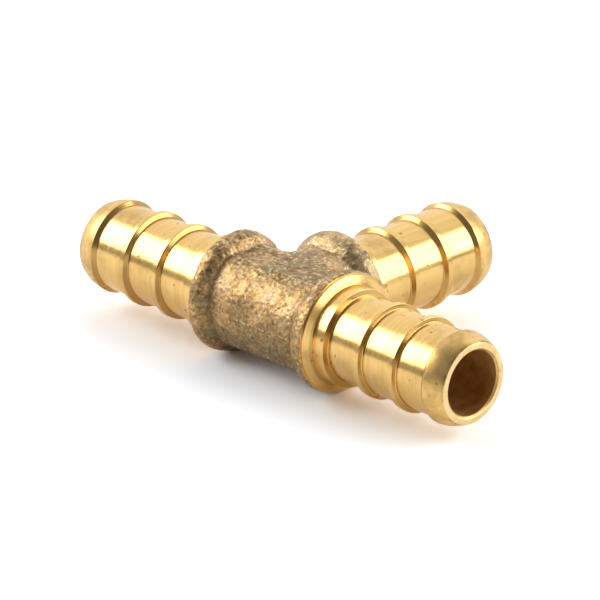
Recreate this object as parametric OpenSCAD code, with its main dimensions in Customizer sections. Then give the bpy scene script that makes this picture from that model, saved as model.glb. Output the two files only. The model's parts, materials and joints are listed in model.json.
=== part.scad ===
// Barbed tee connector: a cast tee body with three turned spigots brazed into its collars.
// The run lies along X, the branch points along +Y, and the origin is where their axes cross.

/* [Waterway] */
// Diameter of the waterway through the run and the branch
bore_diameter = 8.9; // [7:0.1:10]
// Chamfer round the mouth of each spigot
mouth_chamfer = 0.3; // [0.1:0.05:0.6]

/* [Spigot] */
// Wall of the shank that is brazed into the body
shank_wall = 0.95; // [0.7:0.05:1.5]
// Length of the shank
shank_length = 4.2; // [2.5:0.1:8]
// Step from the shank out to the barrel
shoulder_step = 0.5; // [0.3:0.05:1]
// Length of the land between a run collar and the first valley
run_land = 2.7; // [1.5:0.05:4]
// Length of the land between the branch collar and the first valley
branch_land = 2.1; // [1.5:0.05:4]
// Height of the land above the barrel
land_height = 0.8; // [0.6:0.05:1]
// How far the conical foot, which seats on the collar, flares out beyond the land
foot_flare = 0.6; // [0.3:0.05:1]
// Length of the conical foot
foot_length = 0.45; // [0.2:0.05:0.7]
// Width of the relief groove between the foot and the land
relief_width = 0.25; // [0.15:0.05:0.6]
// Depth of that groove
relief_depth = 0.15; // [0.1:0.05:0.4]
// Plain barrel between the last rib and the nose
nose_gap = 4.7; // [2:0.1:8]

/* [Ribs] */
// Number of narrow ribs beyond the land
rib_count = 2; // [1:1:4]
// Distance between neighbouring ribs, and from the land's edge to that of the first rib
rib_pitch = 6.15; // [3:0.05:9]
// Height of a rib above the barrel
rib_height = 0.6; // [0.3:0.05:1]
// Width of the flat crest of a rib
rib_crest = 0.8; // [0.4:0.05:1.4]
// Length of the flank that faces the mouth
rib_front_flank = 0.2; // [0.1:0.05:0.6]
// Length of the flank that faces the body
rib_rear_flank = 0.35; // [0.1:0.05:0.6]

/* [Nose] */
// Length of the rounded nose, from the mouth to its crest
nose_length = 3.1; // [2:0.1:5]
// Height of the nose crest above the barrel
nose_height = 0.5; // [0.3:0.05:1]
// Length of the flank behind the nose crest
nose_flank = 0.5; // [0.2:0.05:1]
// Radius of the nose's rounded profile
nose_radius = 7; // [5:0.5:14]
// Width of the flat ring between the mouth's chamfer and the nose
mouth_ring = 0.75; // [0.2:0.05:1.1]

/* [Casting] */
// Metal between the branch's waterway and the floor of each run socket
run_floor = 1.55; // [0.5:0.05:6]
// Metal between the run's waterway and the floor of the branch socket
branch_floor = 1.1; // [0.5:0.05:6]
// Wall of the casting round the sockets
casting_wall = 1.55; // [1:0.05:2.5]
// Depth of the flat on the crown and on the underside of the casting's barrels
crown_cut = 0.5; // [0.2:0.05:0.9]
// Height of the collars above the casting's barrel
collar_height = 1.25; // [0.8:0.05:1.8]
// Radius of the collars' rounded section
bead_radius = 2.4; // [2.1:0.05:2.8]
// Distance from a collar's crest to its machined face
bead_setback = 0.65; // [0.2:0.05:1]
// Fillet between a collar and the barrel
root_fillet = 0.9; // [0.3:0.05:1.2]
// Fillet between the run and the branch
crotch_fillet = 2.4; // [1:0.1:3]

/* [Fit] */
// Gap left round a shank for the braze
braze_gap = 0.05; // [0.02:0.01:0.1]
// Room left under a shank, so that its foot seats first
socket_relief = 0.2; // [0.1:0.05:0.5]

/* [Hidden] */
$fn = 96;

cast_brass = [0.60, 0.48, 0.31];
turned_brass = [0.90, 0.66, 0.30];

// Radii, from the waterway outwards
bore_r = bore_diameter / 2;
shank_r = bore_r + shank_wall;
barrel_r = shank_r + shoulder_step;
rib_r = barrel_r + rib_height;
land_r = barrel_r + land_height;
nose_r = barrel_r + nose_height;
mouth_r = bore_r + mouth_chamfer + mouth_ring;
socket_r = shank_r + braze_gap;
casting_r = socket_r + casting_wall;
collar_r = casting_r + collar_height;
bead_ring_r = collar_r - bead_radius;

// Stations along a spigot, from the end of its land to its mouth
rib_row_end = rib_count * rib_pitch + rib_front_flank;
nose_foot = rib_row_end + nose_gap;
nose_crest = nose_foot + nose_flank;
mouth = nose_crest + nose_length;

// Distances from the crossing of the axes to the machined faces of the collars
socket_depth = shank_length + socket_relief;
run_face = bore_r + run_floor + socket_depth;
branch_face = bore_r + branch_floor + socket_depth;

// How far a shape runs into its neighbour, or a cut past a face, so that none ends flush
overlap = 0.5;
// How far a fillet's ends are sunk, so that they cross the surfaces that they blend
sink = 0.04;
// Steps along the beads and the fillets
bead_steps = 28;
root_steps = 6;
crotch_steps = 16;
crotch_arc_steps = 6;
// The crotch fillet dies out at this angle above and below the casting's mid-plane
crotch_end = 80;

function unit(v) = v / norm(v);

// Centre of the circle of the nose's radius through the mouth ring's edge and the nose crest
nose_rise = [nose_r - mouth_r, -nose_length];
nose_half = norm(nose_rise) / 2;
nose_sag = sqrt(pow(nose_radius, 2) - pow(nose_half, 2));
nose_centre = [mouth_r, mouth] + nose_rise / 2 + nose_sag * unit([-nose_length, -nose_rise.x]);

// Half section of a spigot: radius across, distance from the end of its land up
module spigot_section(land) {
    difference() {
        union() {
            translate([bore_r, -land - shank_length]) square([shank_wall, shank_length + overlap]);
            translate([bore_r, -land]) square([barrel_r - bore_r, land + nose_foot + overlap]);
            land_section(land);
            for (i = [1 : rib_count]) translate([0, i * rib_pitch]) rib_section();
            nose_section();
        }
        mouth_chamfer_section();
    }
}

module land_section(land) {
    polygon([
        [barrel_r - overlap, -land],
        [land_r + foot_flare, -land],
        [land_r, foot_length - land],
        [land_r - relief_depth, foot_length - land],
        [land_r - relief_depth, foot_length + relief_width - land],
        [land_r, foot_length + relief_width - land],
        [land_r, 0],
        [barrel_r, rib_front_flank],
        [barrel_r - overlap, rib_front_flank]
    ]);
}

// A rib, with the front edge of its crest at height zero
module rib_section() {
    rear = -rib_crest - rib_rear_flank;
    polygon([
        [barrel_r - overlap, rear],
        [barrel_r, rear],
        [rib_r, -rib_crest],
        [rib_r, 0],
        [barrel_r, rib_front_flank],
        [barrel_r - overlap, rib_front_flank]
    ]);
}

module nose_section() {
    intersection() {
        polygon([
            [bore_r, nose_foot],
            [barrel_r, nose_foot],
            [barrel_r + 2 * nose_height, nose_foot + 2 * nose_flank],
            [barrel_r + 2 * nose_height, mouth],
            [bore_r, mouth]
        ]);
        translate(nose_centre) circle(r = nose_radius);
    }
}

module mouth_chamfer_section() {
    polygon([
        [bore_r - overlap, mouth - mouth_chamfer - overlap],
        [bore_r + mouth_chamfer + overlap, mouth + overlap],
        [bore_r - overlap, mouth + overlap]
    ]);
}

// A turned spigot that points along +Z from its collar's face
module spigot(land) {
    color(turned_brass) translate([0, 0, land]) rotate_extrude() spigot_section(land);
}

// Half section of a collar, with its crest at height zero
module collar_section() {
    face_tilt = asin(bead_setback / bead_radius);
    bead = [
        for (k = [0 : bead_steps])
            let (a = face_tilt - (90 + face_tilt) * k / bead_steps)
            [bead_ring_r + bead_radius * cos(a), bead_radius * sin(a)]
    ];
    polygon(concat(bead, [[0, -bead_radius], [0, bead_setback]]));
    root_fillet_section();
}

// Fill between the bead and the barrel below it
module root_fillet_section() {
    centre_r = casting_r + root_fillet - sink;
    reach = bead_radius + root_fillet - sink;
    out = centre_r - bead_ring_r;
    drop = sqrt(pow(reach, 2) - pow(out, 2));
    tilt = atan2(drop, out);
    arc = [
        for (k = [0 : root_steps])
            let (a = 180 - tilt * (1 - k / root_steps))
            [centre_r + root_fillet * cos(a), root_fillet * sin(a) - drop]
    ];
    polygon(concat([[bead_ring_r, 0]], arc, [[bead_ring_r, -drop]]));
}

// Rolling-ball fillet in the crotch between the run along +X and the branch along +Y.
// The ball rests on both barrels, and t is its height angle above the casting's mid-plane.
function ball_centre(t) =
    let (reach = casting_r + crotch_fillet - sink)
    [reach * cos(t), reach * cos(t), reach * sin(t)];

function ball_contact(t, k) =
    let (
        to_run = [0, -cos(t), -sin(t)],
        to_branch = [-cos(t), 0, -sin(t)],
        share = k / crotch_arc_steps
    )
    ball_centre(t) + crotch_fillet * unit((1 - share) * to_run + share * to_branch);

function crotch_ring(t) = concat(
    [for (k = [0 : crotch_arc_steps]) ball_contact(t, k)],
    [(socket_r + casting_r) / 2 * [cos(t), cos(t), sin(t)]]
);

module crotch_blend() {
    n = crotch_arc_steps + 2;
    points = [
        for (i = [0 : crotch_steps])
            each crotch_ring(crotch_end * (2 * i / crotch_steps - 1))
    ];
    sides = [
        for (i = [0 : crotch_steps - 1], k = [0 : n - 1])
            let (a = i * n + k, b = i * n + (k + 1) % n)
            each [[a, a + n, b], [b, a + n, b + n]]
    ];
    last = crotch_steps * n;
    caps = [
        for (k = [0 : n - 3])
            each [[n - 1, k, k + 1], [last + n - 1, last + k + 1, last + k]]
    ];
    polyhedron(points, concat(sides, caps));
}

// Turns a shape that points along +Z to point along the inlet, outlet or branch
module along_inlet() rotate([0, -90, 0]) children();
module along_outlet() rotate([0, 90, 0]) children();
module along_branch() rotate([-90, 0, 0]) children();

// The tee's barrels and crotch fillets, flattened on the crown and the underside
module barrels() {
    run_end = run_face - bead_setback;
    branch_end = branch_face - bead_setback;
    crown = casting_r - crown_cut;
    intersection() {
        union() {
            translate([-run_end, 0, 0]) along_outlet() cylinder(r = casting_r, h = 2 * run_end);
            along_branch() cylinder(r = casting_r, h = branch_end);
            crotch_blend();
            mirror([1, 0, 0]) crotch_blend();
        }
        cube([2 * (run_end + overlap), 2 * (branch_end + casting_r), 2 * crown], center = true);
    }
}

module collar(face) translate([0, 0, face - bead_setback]) rotate_extrude() collar_section();

// Cuts made in one arm of the casting: its socket and its waterway
module arm_cuts(face) {
    translate([0, 0, face - socket_depth]) cylinder(r = socket_r, h = socket_depth + overlap);
    cylinder(r = bore_r, h = face);
}

module tee_body() {
    color(cast_brass) difference() {
        union() {
            barrels();
            along_inlet() collar(run_face);
            along_outlet() collar(run_face);
            along_branch() collar(branch_face);
        }
        along_inlet() arm_cuts(run_face);
        along_outlet() arm_cuts(run_face);
        along_branch() arm_cuts(branch_face);
    }
}

module inlet_spigot() along_inlet() translate([0, 0, run_face]) spigot(run_land);
module outlet_spigot() along_outlet() translate([0, 0, run_face]) spigot(run_land);
module branch_spigot() along_branch() translate([0, 0, branch_face]) spigot(branch_land);

tee_body();
inlet_spigot();
outlet_spigot();
branch_spigot();
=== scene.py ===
import json
from math import atan2, cos, hypot, pi, radians, sin, sqrt

import bpy
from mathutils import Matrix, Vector


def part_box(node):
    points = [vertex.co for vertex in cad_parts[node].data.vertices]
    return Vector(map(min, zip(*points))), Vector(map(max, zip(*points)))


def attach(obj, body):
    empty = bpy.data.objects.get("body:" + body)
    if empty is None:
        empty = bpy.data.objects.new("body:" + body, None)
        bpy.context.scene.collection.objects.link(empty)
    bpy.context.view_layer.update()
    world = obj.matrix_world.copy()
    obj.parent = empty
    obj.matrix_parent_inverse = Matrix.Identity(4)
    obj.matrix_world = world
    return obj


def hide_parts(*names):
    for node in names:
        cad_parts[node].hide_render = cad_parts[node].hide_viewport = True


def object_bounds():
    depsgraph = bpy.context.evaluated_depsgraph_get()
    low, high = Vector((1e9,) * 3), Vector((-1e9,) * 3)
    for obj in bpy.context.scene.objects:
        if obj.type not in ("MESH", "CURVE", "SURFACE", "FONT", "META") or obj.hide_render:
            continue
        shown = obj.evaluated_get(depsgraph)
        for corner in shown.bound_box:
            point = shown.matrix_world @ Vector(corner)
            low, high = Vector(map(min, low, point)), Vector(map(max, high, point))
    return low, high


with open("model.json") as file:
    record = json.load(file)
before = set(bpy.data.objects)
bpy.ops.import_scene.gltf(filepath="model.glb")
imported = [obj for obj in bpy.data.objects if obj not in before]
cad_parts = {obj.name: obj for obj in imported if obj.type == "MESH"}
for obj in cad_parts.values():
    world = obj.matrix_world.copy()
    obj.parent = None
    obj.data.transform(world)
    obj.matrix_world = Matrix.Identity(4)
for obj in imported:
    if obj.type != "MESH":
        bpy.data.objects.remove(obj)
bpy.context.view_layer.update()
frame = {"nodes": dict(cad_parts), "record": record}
print("frame loaded:", ", ".join(sorted(frame["nodes"])))

mm = 0.001
quarterTurn = pi / 2
mergeGap = 0.001 * mm

# What the frame already knows
mounts = {mount["name"]: mount for mount in frame["record"]["mounts"]}
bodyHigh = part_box("tee_body")[1]
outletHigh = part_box("outlet_spigot")[1]
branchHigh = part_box("branch_spigot")[1]
runFace = bodyHigh.x  # flat faces of the run's collars, from the crossing of the axes
branchFace = bodyHigh.y
boreRadius = mounts["run_waterway"]["dims"]["r_mm"] * mm
ribRadius = mounts["outlet_barb"]["dims"]["r_mm"] * mm
ribCrest = mounts["outlet_barb"]["dims"]["length_mm"] * mm


# Modelling helpers

def deselect():
    bpy.ops.object.select_all(action="DESELECT")


def makeActive(piece):
    deselect()
    piece.select_set(True)
    bpy.context.view_layer.objects.active = piece


def arc(centre, radius, start, end, steps):
    angles = [start + (end - start) * k / steps for k in range(steps + 1)]
    return [(centre[0] + radius * cos(a), centre[1] + radius * sin(a)) for a in angles]


# Draws an outline of (along, radius) pairs as a wire and spins it round the X axis
def lathe(name, outline, turns):
    deselect()
    bpy.ops.mesh.primitive_plane_add(size=mm)
    piece = bpy.context.object
    piece.name = name
    points = [Vector((along, radius, 0)) for along, radius in outline]
    bpy.ops.object.mode_set(mode="EDIT")
    bpy.ops.mesh.select_mode(type="VERT")
    bpy.ops.mesh.merge(type="CENTER")
    bpy.ops.transform.translate(value=points[0])
    for here, there in zip(points, points[1:]):
        bpy.ops.mesh.extrude_region_move(TRANSFORM_OT_translate={"value": there - here})
    bpy.ops.mesh.select_all(action="SELECT")
    bpy.ops.mesh.spin(steps=turns, angle=2 * pi, center=(0, 0, 0), axis=(1, 0, 0))
    bpy.ops.mesh.select_all(action="SELECT")
    bpy.ops.mesh.remove_doubles(threshold=mergeGap)
    bpy.ops.mesh.normals_make_consistent(inside=False)
    bpy.ops.object.mode_set(mode="OBJECT")
    return piece


# A copy with its own mesh, turned about the Z axis and then moved
def copyPiece(piece, name, turn, shift=(0, 0, 0)):
    makeActive(piece)
    bpy.ops.object.duplicate(linked=False)
    twin = bpy.context.object
    twin.name = name
    twin.rotation_euler.z = turn
    twin.location = shift
    bpy.ops.object.transform_apply(location=True, rotation=True, scale=True)
    return twin


def scalePiece(piece, factor):
    makeActive(piece)
    piece.scale = (factor,) * 3
    bpy.ops.object.transform_apply(location=True, rotation=True, scale=True)


def applyModifier(piece, kind, **settings):
    makeActive(piece)
    modifier = piece.modifiers.new(kind.title(), kind)
    for setting, value in settings.items():
        setattr(modifier, setting, value)
    bpy.ops.object.modifier_apply(modifier=modifier.name)


# Joins a tool to a piece, or cuts it away, and deletes the tool
def combine(piece, tool, operation):
    applyModifier(piece, "BOOLEAN", operation=operation, object=tool, solver="EXACT",
                  material_mode="TRANSFER")
    bpy.data.objects.remove(tool)


def selectInEdit(piece, kind, test):
    makeActive(piece)
    bpy.ops.object.mode_set(mode="EDIT")
    bpy.ops.mesh.select_mode(type=kind)
    bpy.ops.mesh.select_all(action="DESELECT")
    bpy.ops.object.mode_set(mode="OBJECT")
    mesh = piece.data
    if kind == "VERT":
        for vertex in mesh.vertices:
            vertex.select = test(vertex.co)
    else:
        for edge in mesh.edges:
            edge.select = all(test(mesh.vertices[k].co) for k in edge.vertices)
    bpy.ops.object.mode_set(mode="EDIT")


def bisect(piece, point, normal):
    makeActive(piece)
    bpy.ops.object.mode_set(mode="EDIT")
    bpy.ops.mesh.select_all(action="SELECT")
    bpy.ops.mesh.bisect(plane_co=point, plane_no=normal, use_fill=True, clear_outer=True)
    bpy.ops.object.mode_set(mode="OBJECT")


# Material helpers

def newMaterial(name):
    material = bpy.data.materials.new(name)
    material.use_nodes = True
    tree = material.node_tree
    return material, tree, tree.nodes["Principled BSDF"]


def addNode(tree, kind, **settings):
    node = tree.nodes.new("ShaderNode" + kind)
    for setting, value in settings.items():
        setattr(node, setting, value)
    return node


def link(tree, source, target):
    tree.links.new(source, target)


# Object coordinates, turned and stretched by a Mapping node
def mappedCoords(tree, scale=(1, 1, 1), turn=0, shift=(0, 0, 0)):
    coords = addNode(tree, "TexCoord")
    mapping = addNode(tree, "Mapping")
    mapping.inputs["Rotation"].default_value = (0, 0, turn)
    mapping.inputs["Scale"].default_value = scale
    mapping.inputs["Location"].default_value = shift
    link(tree, coords.outputs["Object"], mapping.inputs["Vector"])
    return mapping.outputs["Vector"]


def noise(tree, vector, scale, detail=2.0, rough=0.5):
    node = addNode(tree, "TexNoise")
    node.inputs["Scale"].default_value = scale
    node.inputs["Detail"].default_value = detail
    node.inputs["Roughness"].default_value = rough
    link(tree, vector, node.inputs["Vector"])
    return node.outputs["Fac"]


def ramp(tree, value, stops):
    node = addNode(tree, "ValToRGB")
    elements = node.color_ramp.elements
    while len(elements) < len(stops):
        elements.new(1.0)
    for element, (position, colour) in zip(elements, stops):
        element.position = position
        element.color = (*colour, 1)
    link(tree, value, node.inputs["Fac"])
    return node.outputs["Color"]


def mapRange(tree, value, low, high, newLow, newHigh):
    node = addNode(tree, "MapRange")
    ends = {"From Min": low, "From Max": high, "To Min": newLow, "To Max": newHigh}
    for socket, number in ends.items():
        node.inputs[socket].default_value = number
    link(tree, value, node.inputs["Value"])
    return node.outputs["Result"]


def calculate(tree, operation, *values):
    node = addNode(tree, "Math", operation=operation)
    for value, socket in zip(values, node.inputs):
        if isinstance(value, bpy.types.NodeSocket):
            link(tree, value, socket)
        else:
            socket.default_value = value
    return node.outputs["Value"]


def splitAxes(tree, vector):
    node = addNode(tree, "SeparateXYZ")
    link(tree, vector, node.inputs["Vector"])
    return node.outputs


def length(tree, first, second):
    squares = [calculate(tree, "POWER", value, 2.0) for value in (first, second)]
    return calculate(tree, "SQRT", calculate(tree, "ADD", *squares))


# 1 between two places on a scale and 0 outside them, with edges of the given softness
def band(tree, value, start, end, soft):
    rise = mapRange(tree, value, start - soft, start + soft, 0, 1)
    fall = mapRange(tree, value, end - soft, end + soft, 1, 0)
    return calculate(tree, "MULTIPLY", rise, fall)


# A Mix node holds the sockets of every kind of value, so those for colours go by number
def mixColour(tree, share, first, second, blend="MIX"):
    node = addNode(tree, "Mix", data_type="RGBA", blend_type=blend)
    for value, socket in ((share, node.inputs[0]), (first, node.inputs[6]), (second, node.inputs[7])):
        if isinstance(value, bpy.types.NodeSocket):
            link(tree, value, socket)
        else:
            socket.default_value = value if isinstance(value, float) else (*value, 1)
    return node.outputs[2]


def bump(tree, height, strength, distance):
    node = addNode(tree, "Bump")
    node.inputs["Strength"].default_value = strength
    node.inputs["Distance"].default_value = distance
    link(tree, height, node.inputs["Height"])
    return node.outputs["Normal"]


# Turned brass: fine tool marks round the axis, with bands, faint tarnish and painted shade in the corners
turnedFinish = {
    "gold": (0.91, 0.62, 0.235),
    "deepGold": (0.84, 0.53, 0.18),
    "tarnish": (0.52, 0.33, 0.12),
    # brown of the painted corner shade, of the specks and of the line at the lip
    "corner": (0.33, 0.175, 0.045),
    "bore": (0.90, 0.62, 0.27),
    "boreShade": (0.58, 0.32, 0.09),
    "ring": (0.96, 0.75, 0.39),
    "markWidth": 0.10 * mm,
    "markSpan": 9 * mm,
    "bandWidth": 0.7 * mm,
    "bandSpan": 30 * mm,
    "cornerWidth": 0.15 * mm,
    "lipWidth": 0.35 * mm,
    "soft": 0.05 * mm,
    # Noise: scale, detail and roughness
    "markNoise": (1.0, 2.0),
    "bandNoise": (1.0, 3.0),
    "patchNoise": (220.0, 4.0, 0.6),
    "speckNoise": (1000.0, 1.0),
    "smudgeNoise": (480.0, 3.0, 0.6),
    # What the noise turns into: its low and high end, and the share at each
    "banded": (0.35, 0.65, 0.0, 1.0),
    "stained": (0.52, 0.72, 0.0, 0.65),
    "specked": (0.71, 0.76, 0.0, 0.8),
    # patchy share of the painted corner shade
    "patchyCornerShade": (0.3, 0.6, 1.0, 0.75),
    "dulled": (0.40, 0.62, 0.0, 0.65),
    # a darker broken line at the lip
    "lipDarkened": (0.45, 0.6, 0.0, 0.7),
    "paled": (0.42, 0.60, 1.0, 0.45),
    "streaked": (0.38, 0.62, 0.0, 1.0),
    "roughness": (0.3, 0.7, 0.16, 0.26),
    "boreRoughness": 0.53,
    "noseRoughness": 0.36,
    "ringRoughness": 0.48,
    "markStrength": 0.25,
    "markDepth": 0.01 * mm,
}


# Distance along an arm and from its axis, for an arm turned onto the X axis
def armPlace(tree, turn):
    x, y, z = splitAxes(tree, mappedCoords(tree, turn=turn))
    return calculate(tree, "ABSOLUTE", x), length(tree, y, z)


# How dark the corners at the foot, the land, the ribs and the nose are painted: painted shade
def cornerShade(tree, along, face, mouth):
    s, f = spigot, turnedFinish
    edge = face + landLength(mouth - face)
    lastValley = edge + (s["ribCount"] + 0.5) * s["ribPitch"]
    step = calculate(tree, "FLOORED_MODULO", calculate(tree, "SUBTRACT", along, edge), s["ribPitch"])
    crest = s["ribPitch"] - ribCrest
    front = band(tree, step, 0, s["frontFlank"], f["soft"])
    rear = band(tree, step, crest - s["rearFlank"] - f["cornerWidth"], crest, f["soft"])
    rear = calculate(tree, "MULTIPLY", rear, calculate(tree, "GREATER_THAN", along, edge))
    shade = calculate(tree, "MAXIMUM", front, rear)
    shade = calculate(tree, "MULTIPLY", shade, calculate(tree, "LESS_THAN", along, lastValley))
    foot = face + s["footLength"]
    noseCrest = mouth - s["noseLength"]
    for start, end in ((foot - f["cornerWidth"], foot + f["cornerWidth"]),
                       (noseCrest - s["noseFlank"] - f["cornerWidth"], noseCrest)):
        shade = calculate(tree, "MAXIMUM", shade, band(tree, along, start, end, f["soft"]))
    return shade


# Painted shade in the corners, a dull nose, a darker broken line at the lip and a pale ring round the
# mouth
def spigotWear(tree, colour, roughness, along, plain, patches, cornerShadeDepth, face, mouth):
    f = turnedFinish
    low, high, most, least = f["patchyCornerShade"]
    patchyCornerShade = mapRange(tree, patches, low, high, most * cornerShadeDepth, least * cornerShadeDepth)
    shade = calculate(tree, "MULTIPLY", cornerShade(tree, along, face, mouth), patchyCornerShade)
    # painted shade in the corners
    colour = mixColour(tree, shade, colour, f["corner"])
    smudges = noise(tree, plain, *f["smudgeNoise"])
    nose = band(tree, along, mouth - spigot["noseLength"], mouth - f["soft"], f["soft"])
    lip = band(tree, along, mouth - f["lipWidth"], mouth - 2 * f["soft"], f["soft"])
    ring = mapRange(tree, along, mouth - 2 * f["soft"], mouth - f["soft"], 0.0, 1.0)
    wornPlaces = ((nose, "dulled", "tarnish"), (lip, "lipDarkened", "corner"), (ring, "paled", "ring"))
    for place, wear, tint in wornPlaces:
        share = calculate(tree, "MULTIPLY", place, mapRange(tree, smudges, *f[wear]))
        colour = mixColour(tree, share, colour, f[tint])
    for place, level in ((nose, f["noseRoughness"]), (ring, f["ringRoughness"])):
        roughness = calculate(tree, "MAXIMUM", roughness, calculate(tree, "MULTIPLY", place, level))
    return colour, roughness


# The finish of a spigot, or without a mouth that of a cut in the body
def turnedBrass(name, turn, seed, cornerShadeDepth=0, face=0, mouth=0):
    material, tree, shader = newMaterial(name)
    f = turnedFinish
    shader.inputs["Metallic"].default_value = 1.0
    marksAt = mappedCoords(tree, (1 / f["markWidth"], 1 / f["markSpan"], 1 / f["markSpan"]), turn)
    bandsAt = mappedCoords(tree, (1 / f["bandWidth"], 1 / f["bandSpan"], 1 / f["bandSpan"]), turn)
    plain = mappedCoords(tree, shift=(seed * mm, 0, 0))
    marks = noise(tree, marksAt, *f["markNoise"])
    bands = noise(tree, bandsAt, *f["bandNoise"])
    patches = noise(tree, plain, *f["patchNoise"])
    specks = noise(tree, plain, *f["speckNoise"])
    along, radius = armPlace(tree, turn)
    colour = mixColour(tree, mapRange(tree, bands, *f["banded"]), f["deepGold"], f["gold"])
    colour = mixColour(tree, mapRange(tree, patches, *f["stained"]), colour, f["tarnish"])
    colour = mixColour(tree, mapRange(tree, specks, *f["specked"]), colour, f["corner"])
    roughness = mapRange(tree, marks, *f["roughness"])
    if mouth:
        colour, roughness = spigotWear(tree, colour, roughness, along, plain, patches, cornerShadeDepth,
                                       face, mouth)
    inside = mapRange(tree, radius, boreRadius + 2 * f["soft"], boreRadius + 3 * f["soft"], 1.0, 0.0)
    streaks = mixColour(tree, mapRange(tree, patches, *f["streaked"]), f["boreShade"], f["bore"])
    colour = mixColour(tree, inside, colour, streaks)
    boreRoughness = calculate(tree, "MULTIPLY", inside, f["boreRoughness"])
    roughness = calculate(tree, "MAXIMUM", roughness, boreRoughness)
    link(tree, colour, shader.inputs["Base Color"])
    link(tree, roughness, shader.inputs["Roughness"])
    link(tree, bump(tree, marks, f["markStrength"], f["markDepth"]), shader.inputs["Normal"])
    return material


# Cast brass: sand skin with brown and gold patina, dark in the hollows and worn bright on the high spots,
# with painted shade behind the collars and underneath and painted glints on the crowns
castFinish = {
    "brown": (0.34, 0.20, 0.08),
    "olive": (0.37, 0.27, 0.125),
    "gold": (0.50, 0.325, 0.13),
    "pink": (0.52, 0.33, 0.185),
    # dark brown of the dirt in the hollows and pits, and of the painted shade
    "dirtAndShade": (0.08, 0.048, 0.018),
    # pale brass of the wear on the high spots, and of the painted glints and edge highlights
    "wearAndGlint": (0.96, 0.76, 0.44),
    # painted shade in the creases behind the collars
    "rootShade": (0.45, 0.25),  # behind the collars of the run and of the branch
    "rootWidth": 1.0 * mm,
    # painted shade, darker towards the bottom
    "underShade": 0.4,
    # width of the crown edges, worn and painted bright
    "edgeWidth": 0.24 * mm,
    # Noise: scale, detail and roughness
    "cloudNoise": (230.0, 3.0, 0.6),
    "patchNoise": (560.0, 3.0, 0.6),
    "grainNoise": (2300.0, 3.0, 0.6),
    "glintNoise": (1100.0, 2.0),
    "patina": (0.36, 0.46, 0.54, 0.64),  # where olive, brown, gold and pink lie on the clouds
    # Where the noise, the height or the place starts and ends, and the share at each
    "patchShade": (0.35, 0.65, 0.78, 1.22),
    "grainShade": (0.35, 0.65, 0.68, 1.34),
    # paler towards the branch
    "paleTowardsBranch": (0.2 * branchFace, 0.7 * branchFace, 0.0, 0.24),
    # painted glints and painted dark spots on the crowns
    "glints": (0.5, 0.62, 0.0, 0.7),
    "dimSpots": (0.36, 0.5, 0.385, 0.0),
    "ridges": (0.50, 0.56, 0.0, 1.0),
    "ridgeWear": (0.47, 0.62, 0.1, 1.0),
    "hollows": (0.42, 0.49, 0.85, 0.0),
    "pits": (0.26, 0.36, 0.8, 0.0),
    "roughness": (0.35, 0.65, 0.36, 0.58),
    "film": 0.15,
    "filmRoughness": 0.35,
    "grainStrength": 0.9,
    "grainDepth": 0.09 * mm,
}


# Where shade is painted behind the collars and underneath, where the crown edges are worn and painted
# bright, where the casting turns paler towards the branch, and where the crowns are
def castPlaces(tree):
    f, b = castFinish, body
    x, y, z = splitAxes(tree, mappedCoords(tree))
    across, up = calculate(tree, "ABSOLUTE", x), calculate(tree, "ABSOLUTE", z)
    behind = b["beadSetback"] + b["bead"]
    soft = f["rootWidth"] / 2
    # painted shade in the creases behind the collars
    roots = []
    for place, face, dark in zip((across, y), (runFace, branchFace), f["rootShade"]):
        root = band(tree, place, face - behind - soft, face - behind + soft, soft)
        roots.append(calculate(tree, "MULTIPLY", root, dark))
    flat = sqrt(b["barrel"] ** 2 - b["crown"] ** 2)
    width = f["edgeWidth"]
    edges = []
    for place, beside in ((y, across), (x, y)):
        edge = band(tree, calculate(tree, "ABSOLUTE", place), flat - width, flat + width, width)
        edges.append(calculate(tree, "MULTIPLY", edge, calculate(tree, "GREATER_THAN", beside, flat)))
    crown = calculate(tree, "GREATER_THAN", up, b["crown"] - 2 * width)
    # painted shade, darker towards the bottom
    under = mapRange(tree, z, -b["crown"], 0.0, f["underShade"], 0.0)
    paintedShade = calculate(tree, "MAXIMUM", under, calculate(tree, "MAXIMUM", *roots))
    wearAndGlint = calculate(tree, "MULTIPLY", crown, calculate(tree, "MAXIMUM", *edges))
    return paintedShade, wearAndGlint, mapRange(tree, y, *f["paleTowardsBranch"]), crown


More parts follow.
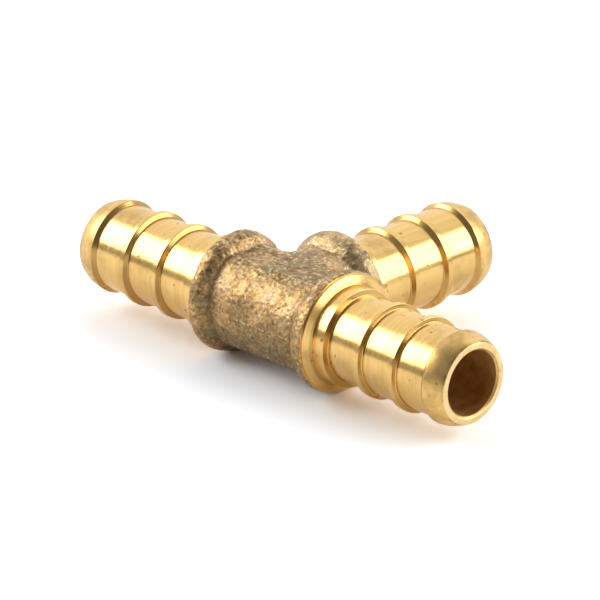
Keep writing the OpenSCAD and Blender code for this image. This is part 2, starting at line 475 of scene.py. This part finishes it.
def castBrass(name):
    material, tree, shader = newMaterial(name)
    f = castFinish
    shader.inputs["Metallic"].default_value = 1.0
    shader.inputs["Coat Weight"].default_value = f["film"]
    shader.inputs["Coat Roughness"].default_value = f["filmRoughness"]
    at = mappedCoords(tree)
    clouds = noise(tree, at, *f["cloudNoise"])
    patches = noise(tree, at, *f["patchNoise"])
    grain = noise(tree, at, *f["grainNoise"])
    spots = noise(tree, at, *f["glintNoise"])
    tones = (f["olive"], f["brown"], f["gold"], f["pink"])
    colour = ramp(tree, clouds, list(zip(f["patina"], tones)))
    for shade, levels in ((patches, f["patchShade"]), (grain, f["grainShade"])):
        colour = mixColour(tree, 1.0, colour, mapRange(tree, shade, *levels), "MULTIPLY")
    paintedShade, wearAndGlint, paleTowardsBranch, crown = castPlaces(tree)
    # painted glints and painted dark spots on the crowns
    glints = calculate(tree, "MULTIPLY", crown, mapRange(tree, spots, *f["glints"]))
    dimSpots = calculate(tree, "MULTIPLY", crown, mapRange(tree, spots, *f["dimSpots"]))
    paintedShade = calculate(tree, "MAXIMUM", paintedShade, dimSpots)
    wearAndGlint = calculate(tree, "MAXIMUM", wearAndGlint, glints)
    # paler towards the branch
    colour = mixColour(tree, paleTowardsBranch, colour, f["wearAndGlint"])
    # painted shade behind the collars and underneath, and the painted dark spots on the crowns
    colour = mixColour(tree, paintedShade, colour, f["dirtAndShade"])
    height = addNode(tree, "NewGeometry").outputs["Pointiness"]
    wearAndGlint = calculate(tree, "MAXIMUM", wearAndGlint, mapRange(tree, height, *f["ridges"]))
    wearAndGlint = calculate(tree, "MULTIPLY", wearAndGlint, mapRange(tree, grain, *f["ridgeWear"]))
    # wear on the high spots, with painted highlights along the crown edges and painted glints
    colour = mixColour(tree, wearAndGlint, colour, f["wearAndGlint"])
    hollows = mapRange(tree, height, *f["hollows"])
    pits = mapRange(tree, grain, *f["pits"])
    colour = mixColour(tree, calculate(tree, "MAXIMUM", hollows, pits), colour, f["dirtAndShade"])
    link(tree, colour, shader.inputs["Base Color"])
    link(tree, mapRange(tree, patches, *f["roughness"]), shader.inputs["Roughness"])
    link(tree, bump(tree, grain, f["grainStrength"], f["grainDepth"]), shader.inputs["Normal"])
    return material


# Spigots: turned from one outline, with a shorter land on the branch
spigot = {
    "barrel": 5.9 * mm,
    "shank": 5.4 * mm,
    "shankLength": 4.2 * mm,
    "landRadius": 6.7 * mm,
    "footRadius": 7.9 * mm,
    "footLip": 0.15 * mm,
    "footLength": 0.7 * mm,
    "ribCount": 2,
    "ribPitch": 6.15 * mm,
    "rearFlank": 0.35 * mm,
    "frontFlank": 0.2 * mm,
    "noseGap": 4.7 * mm,
    "noseFlank": 0.5 * mm,
    "noseLength": 3.1 * mm,
    "noseRadius": 6.4 * mm,
    "noseBow": 7 * mm,
    "noseSteps": 14,
    "mouthRadius": 5.5 * mm,
    "mouthChamfer": 0.3 * mm,
    "edge": 0.07 * mm,
    "edgeSteps": 3,
    "edgeAngle": radians(12),
    "turns": 240,
    "seeds": {"inlet_spigot": 3, "outlet_spigot": 47, "branch_spigot": 91},
    # how deep the painted shade in the corners is on each spigot
    "cornerShadeDepth": {"inlet_spigot": 0.75, "outlet_spigot": 0.6, "branch_spigot": 0.4},
}


# The land takes up what the nose and the ribs leave of the length from a collar's face to the mouth
def landLength(mouth):
    s = spigot
    nose = s["noseGap"] + s["noseFlank"] + s["noseLength"]
    return mouth - nose - s["frontFlank"] - s["ribCount"] * s["ribPitch"]


def spigotOutline(mouth):
    s = spigot
    noseCrest = mouth - s["noseLength"]
    noseFoot = noseCrest - s["noseFlank"]
    land = landLength(mouth)
    outline = [(-s["shankLength"], boreRadius), (-s["shankLength"], s["shank"]), (0, s["shank"])]
    outline += [(0, s["footRadius"]), (s["footLip"], s["footRadius"])]
    outline += [(s["footLength"], s["landRadius"]), (land, s["landRadius"])]
    outline += [(land + s["frontFlank"], s["barrel"])]
    for k in range(1, s["ribCount"] + 1):
        front = land + k * s["ribPitch"]
        outline += [(front - ribCrest - s["rearFlank"], s["barrel"]), (front - ribCrest, ribRadius)]
        outline += [(front, ribRadius), (front + s["frontFlank"], s["barrel"])]
    outline += [(noseFoot, s["barrel"])]
    run, drop = s["noseLength"], s["noseRadius"] - s["mouthRadius"]
    chord = hypot(run, drop)
    sag = sqrt(s["noseBow"] ** 2 - chord ** 2 / 4)
    centre = (noseCrest + run / 2 - sag * drop / chord,
              s["noseRadius"] - drop / 2 - sag * run / chord)
    start = atan2(s["noseRadius"] - centre[1], noseCrest - centre[0])
    end = atan2(s["mouthRadius"] - centre[1], mouth - centre[0])
    outline += arc(centre, s["noseBow"], start, end, s["noseSteps"])
    outline += [(mouth, boreRadius + s["mouthChamfer"]), (mouth - s["mouthChamfer"], boreRadius)]
    return outline + outline[:1]


# The edges are broken at millimetre scale, because faces this small have no weight in metres
def turnSpigot(name, face, mouth):
    s = spigot
    piece = lathe(name, spigotOutline(mouth - face), s["turns"])
    bpy.ops.object.shade_smooth()
    scalePiece(piece, 1 / mm)
    applyModifier(piece, "BEVEL", width=s["edge"] / mm, segments=s["edgeSteps"], limit_method="ANGLE",
                  angle_limit=s["edgeAngle"])
    applyModifier(piece, "WEIGHTED_NORMAL", mode="FACE_AREA", weight=100)  # wide faces keep their normals
    scalePiece(piece, mm)
    return piece


def makeSpigots():
    run = turnSpigot("runSpigot", runFace, outletHigh.x)
    side = turnSpigot("sideSpigot", branchFace, branchHigh.y)
    inlet = copyPiece(run, "inletSpigot", 2 * quarterTurn, (-runFace, 0, 0))
    outlet = copyPiece(run, "outletSpigot", 0, (runFace, 0, 0))
    branch = copyPiece(side, "branchSpigot", quarterTurn, (0, branchFace, 0))
    bpy.data.objects.remove(run)
    bpy.data.objects.remove(side)
    for piece, node, turn, face, mouth in (
            (inlet, "inlet_spigot", 0, runFace, outletHigh.x),
            (outlet, "outlet_spigot", 0, runFace, outletHigh.x),
            (branch, "branch_spigot", -quarterTurn, branchFace, branchHigh.y)):
        seed, cornerShadeDepth = spigot["seeds"][node], spigot["cornerShadeDepth"][node]
        piece.data.materials.append(turnedBrass(piece.name + "Brass", turn, seed, cornerShadeDepth, face, mouth))
        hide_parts(node)
        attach(piece, "root")
    print("spigots turned")


# Body: a sand casting, roughened and then faced, socketed and bored
body = {
    "barrel": 7.0 * mm,
    "crown": 6.5 * mm,
    "bead": 2.4 * mm,
    "beadSetback": 0.65 * mm,
    "beadSteps": 24,
    "crotch": 1.4 * mm,
    "crotchSteps": 8,
    "socketRadius": 5.45 * mm,
    "socketDepth": 4.4 * mm,
    "voxel": 0.16 * mm,
    "smoothFactor": 0.5,
    "smoothRounds": 5,
    "sand": ((2.4 * mm, 0.16 * mm), (0.9 * mm, 0.09 * mm), (0.45 * mm, 0.08 * mm)),  # size and depth
    "partingHeight": 0.06 * mm,
    "partingWidth": 0.16 * mm,
    "sides": 96,
    "sharpAngle": radians(45),
    "cutSeed": 13,
}


def castingBarrels():
    b = body
    runEnd, branchEnd = runFace - b["beadSetback"], branchFace - b["beadSetback"]
    long = 3 * b["barrel"]
    deselect()
    bpy.ops.mesh.primitive_cylinder_add(vertices=b["sides"], radius=b["barrel"], depth=2 * long,
                                        rotation=(0, quarterTurn, 0))
    casting = bpy.context.object
    casting.name = "teeBody"
    bpy.ops.object.transform_apply(location=True, rotation=True, scale=True)
    deselect()
    bpy.ops.mesh.primitive_cylinder_add(vertices=b["sides"], radius=b["barrel"], depth=long,
                                        location=(0, long / 2, 0), rotation=(quarterTurn, 0, 0))
    branch = bpy.context.object
    bpy.ops.object.transform_apply(location=True, rotation=True, scale=True)
    combine(casting, branch, "UNION")
    bisect(casting, (0, 0, b["crown"]), (0, 0, 1))
    bisect(casting, (0, 0, -b["crown"]), (0, 0, -1))
    bpy.ops.object.mode_set(mode="EDIT")
    bpy.ops.mesh.select_all(action="SELECT")
    bpy.ops.mesh.remove_doubles(threshold=2 * mergeGap)
    bpy.ops.object.mode_set(mode="OBJECT")
    near = 10 * mergeGap  # the seams run where the branch's wall meets the run's
    selectInEdit(casting, "EDGE", lambda p: p.y > near and abs(abs(p.x) - p.y) < near)
    bpy.ops.mesh.bevel(offset=b["crotch"], offset_type="OFFSET", segments=b["crotchSteps"],
                       affect="EDGES", clamp_overlap=False)
    bpy.ops.object.mode_set(mode="OBJECT")
    for point, normal in (((runEnd, 0, 0), (1, 0, 0)), ((-runEnd, 0, 0), (-1, 0, 0)),
                          ((0, branchEnd, 0), (0, 1, 0))):
        bisect(casting, point, normal)
    return casting


# A collar's bead as cast, before its face is cut
def collarOutline():
    b = body
    ring = (-b["beadSetback"], bodyHigh.z - b["bead"])
    back, front = ring[0] - b["bead"], ring[0] + b["bead"]
    bead = arc(ring, b["bead"], pi, 0, b["beadSteps"])
    return [(back, 0), *bead, (front, 0)]


# What is turned out of one arm, from the crossing outwards: its waterway, its socket and its face
def armCutOutline(face):
    b = body
    clear = 2 * b["bead"]
    floor = face - b["socketDepth"]
    return [(floor, boreRadius), (floor, b["socketRadius"]), (face, b["socketRadius"]),
            (face, bodyHigh.z + clear), (face + clear, bodyHigh.z + clear), (face + clear, 0)]


def makeBody():
    b = body
    casting = castingBarrels()
    collar = lathe("collar", collarOutline(), b["sides"])
    for turn, place in ((quarterTurn, (0, branchFace, 0)), (2 * quarterTurn, (-runFace, 0, 0)),
                        (0, (runFace, 0, 0))):
        combine(casting, copyPiece(collar, "collarCopy", turn, place), "UNION")
    bpy.data.objects.remove(collar)
    applyModifier(casting, "REMESH", mode="VOXEL", voxel_size=b["voxel"])
    applyModifier(casting, "SMOOTH", factor=b["smoothFactor"], iterations=b["smoothRounds"])
    selectInEdit(casting, "VERT", lambda p: abs(p.z) < b["partingWidth"])
    bpy.ops.transform.shrink_fatten(value=b["partingHeight"])
    bpy.ops.object.mode_set(mode="OBJECT")
    for size, depth in b["sand"]:
        sand = bpy.data.textures.new("sand", "CLOUDS")
        sand.noise_scale = size
        sand.noise_depth = 1
        applyModifier(casting, "DISPLACE", texture=sand, texture_coords="LOCAL", strength=depth,
                      mid_level=0.5)
    print("casting blended,", len(casting.data.polygons), "faces")
    casting.data.materials.clear()
    casting.data.materials.append(castBrass("castSkin"))
    outletArm = armCutOutline(runFace)
    inletArm = [(-along, radius) for along, radius in reversed(outletArm)]
    branchArm = [(0, 0), (0, boreRadius)] + armCutOutline(branchFace)
    runCut = lathe("runCut", inletArm + outletArm, b["sides"])
    branchCut = lathe("branchCut", branchArm, b["sides"])
    for cut, turn in ((runCut, 0), (branchCut, quarterTurn)):
        cut.data.materials.append(turnedBrass(cut.name + "Brass", -turn, b["cutSeed"]))
        combine(casting, copyPiece(cut, cut.name + "Copy", turn), "DIFFERENCE")
        bpy.data.objects.remove(cut)
    makeActive(casting)
    bpy.ops.object.shade_smooth_by_angle(angle=b["sharpAngle"])
    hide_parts("tee_body")
    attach(casting, "root")
    print("body machined,", len(casting.data.polygons), "faces")


# Studio: white floor, a softbox to each side, a bright backdrop and a dark camera side
studio = {
    "floorSize": 3.0,
    "floorColour": (0.90, 0.90, 0.90),
    "floorWhite": (1.30, 1.34, 1.40),
    "floorMirrored": (1.0, 1.0, 1.0),
    "backdrop": ((0.0, 1.08), (0.25, 1.0), (0.5, 0.4), (0.62, 0.2)),  # place and grey, back to front
    "softboxes": (
        {"name": "leftSoftbox", "azimuth": -104, "elevation": 32, "distance": 0.6,
         "width": 0.42, "height": 0.36, "glow": 4.3},
        {"name": "rightSoftbox", "azimuth": 82, "elevation": 28, "distance": 0.6,
         "width": 0.69, "height": 0.41, "glow": 3.2},
    ),
}

photoCamera = {
    "azimuth": radians(45.263),
    "elevation": radians(22.854),
    "distance": 1132 * mm,
    "target": (-1.467 * mm, 3.660 * mm, 0),
    "lens": 517.24,
    "sensor": 36,
    "farClip": 100,
}


# A unit vector at an azimuth counted from the camera, positive to its right
def fromCamera(azimuth, elevation):
    turn = photoCamera["azimuth"] + azimuth
    return Vector((sin(turn) * cos(elevation), -cos(turn) * cos(elevation), sin(elevation)))


def makeCamera():
    c = photoCamera
    data = bpy.data.cameras.new("photoCamera")
    data.lens, data.sensor_width = c["lens"], c["sensor"]
    data.clip_end = c["farClip"]
    camera = bpy.data.objects.new("photoCamera", data)
    bpy.context.scene.collection.objects.link(camera)
    back = fromCamera(0, c["elevation"])
    camera.location = Vector(c["target"]) + back * c["distance"]
    camera.rotation_euler = (-back).to_track_quat("-Z", "Y").to_euler()
    bpy.context.scene.camera = camera


def makeLights():
    for box in studio["softboxes"]:
        data = bpy.data.lights.new(box["name"], "AREA")
        data.shape = "RECTANGLE"
        data.size, data.size_y = box["width"], box["height"]
        data.energy = box["glow"] * pi * box["width"] * box["height"]
        lamp = bpy.data.objects.new(box["name"], data)
        bpy.context.scene.collection.objects.link(lamp)
        towards = fromCamera(radians(box["azimuth"]), radians(box["elevation"]))
        lamp.location = towards * box["distance"]
        lamp.rotation_euler = (-towards).to_track_quat("-Z", "Y").to_euler()


# Bright behind the part, dark behind the camera
def makeWorld():
    world = bpy.data.worlds.new("studio")
    bpy.context.scene.world = world
    world.use_nodes = True
    tree = world.node_tree
    coords = addNode(tree, "TexCoord")
    facing = addNode(tree, "VectorMath", operation="DOT_PRODUCT")
    facing.inputs[1].default_value = fromCamera(0, 0)
    link(tree, coords.outputs["Generated"], facing.inputs[0])
    side = mapRange(tree, facing.outputs["Value"], -1, 1, 0, 1)
    glow = ramp(tree, side, [(place, (grey,) * 3) for place, grey in studio["backdrop"]])
    link(tree, glow, tree.nodes["Background"].inputs["Color"])


# The camera and the brass see the floor whiter than it is lit, and from below it is clear
def makeFloor():
    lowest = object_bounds()[0].z
    deselect()
    bpy.ops.mesh.primitive_plane_add(size=studio["floorSize"], location=(0, 0, lowest))
    floor = bpy.context.object
    floor.name = "floor"
    material, tree, shader = newMaterial("whiteFloor")
    tree.nodes.remove(shader)
    rays = addNode(tree, "LightPath").outputs
    mirrored = calculate(tree, "MAXIMUM", rays["Is Glossy Ray"], rays["Is Transmission Ray"])
    colour = mixColour(tree, mirrored, studio["floorColour"], studio["floorMirrored"])
    colour = mixColour(tree, rays["Is Camera Ray"], colour, studio["floorWhite"])
    paint = addNode(tree, "BsdfDiffuse")
    link(tree, colour, paint.inputs["Color"])
    side = addNode(tree, "MixShader")
    link(tree, addNode(tree, "NewGeometry").outputs["Backfacing"], side.inputs["Fac"])
    link(tree, paint.outputs["BSDF"], side.inputs[1])
    link(tree, addNode(tree, "BsdfTransparent").outputs["BSDF"], side.inputs[2])
    link(tree, side.outputs["Shader"], tree.nodes["Material Output"].inputs["Surface"])
    floor.data.materials.append(material)


makeSpigots()
makeBody()
makeCamera()
makeLights()
makeWorld()
makeFloor()
bpy.context.scene.view_settings.view_transform = "Standard"
print("studio lit")
